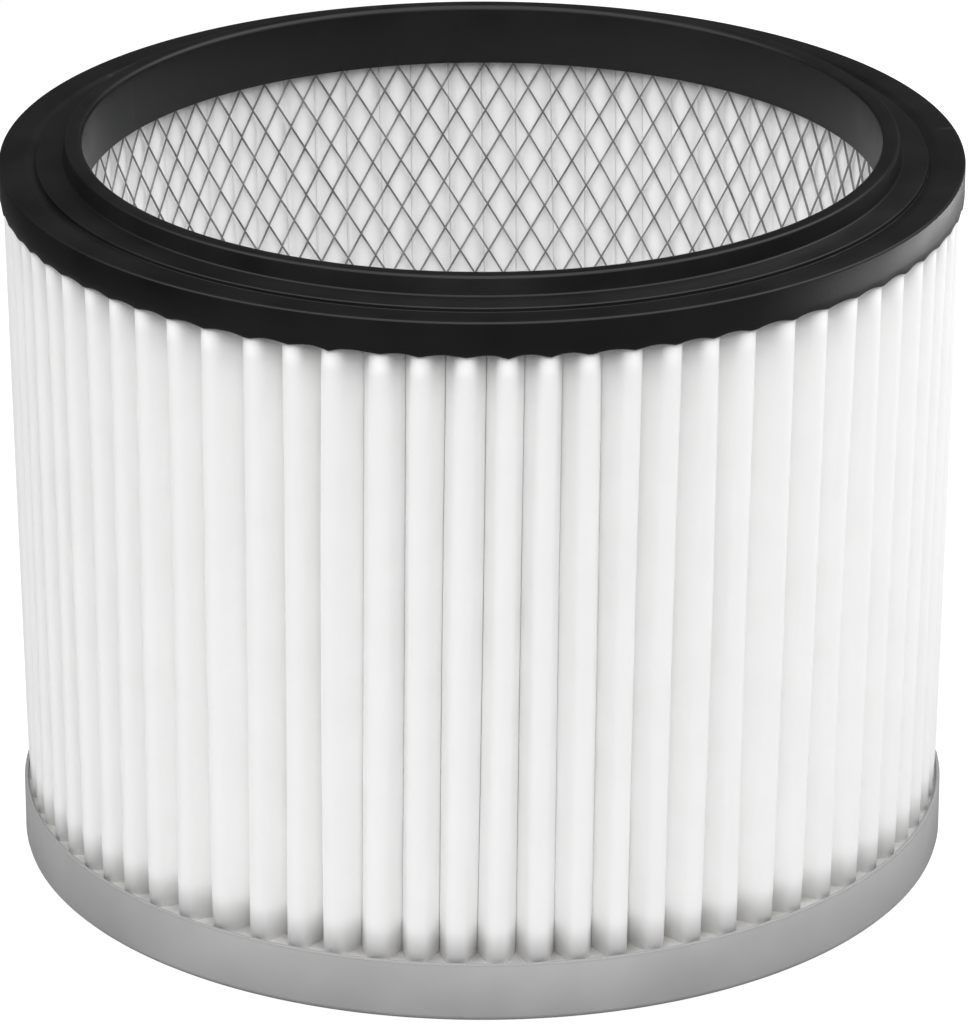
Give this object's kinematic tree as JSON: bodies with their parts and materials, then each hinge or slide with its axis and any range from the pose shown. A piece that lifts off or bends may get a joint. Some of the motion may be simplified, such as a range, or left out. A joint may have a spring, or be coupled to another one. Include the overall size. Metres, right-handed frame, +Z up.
{
  "type": "hepa filter",
  "caption": "Round pleated cartridge filter with an open sealing cap above, a wire mesh lining and a closed base pan.",
  "frame": {"origin": "centre of the base, on the surface that the filter stands on", "axes": "+Z up the axis, from the base pan to the sealing lip"},
  "size_m": [0.16, 0.16, 0.125],
  "materials": {
    "cap_rubber": "satin",
    "filter_medium": "matte",
    "mesh_steel": "dull zinc",
    "adhesive": "matte",
    "pan_plastic": "matte"
  },
  "bodies": {
    "root": {"seal_cap": "cap_rubber", "pleat_pack": "filter_medium", "support_mesh": "mesh_steel", "base_adhesive": "adhesive", "base_pan": "pan_plastic"}
  },
  "joints": []
}
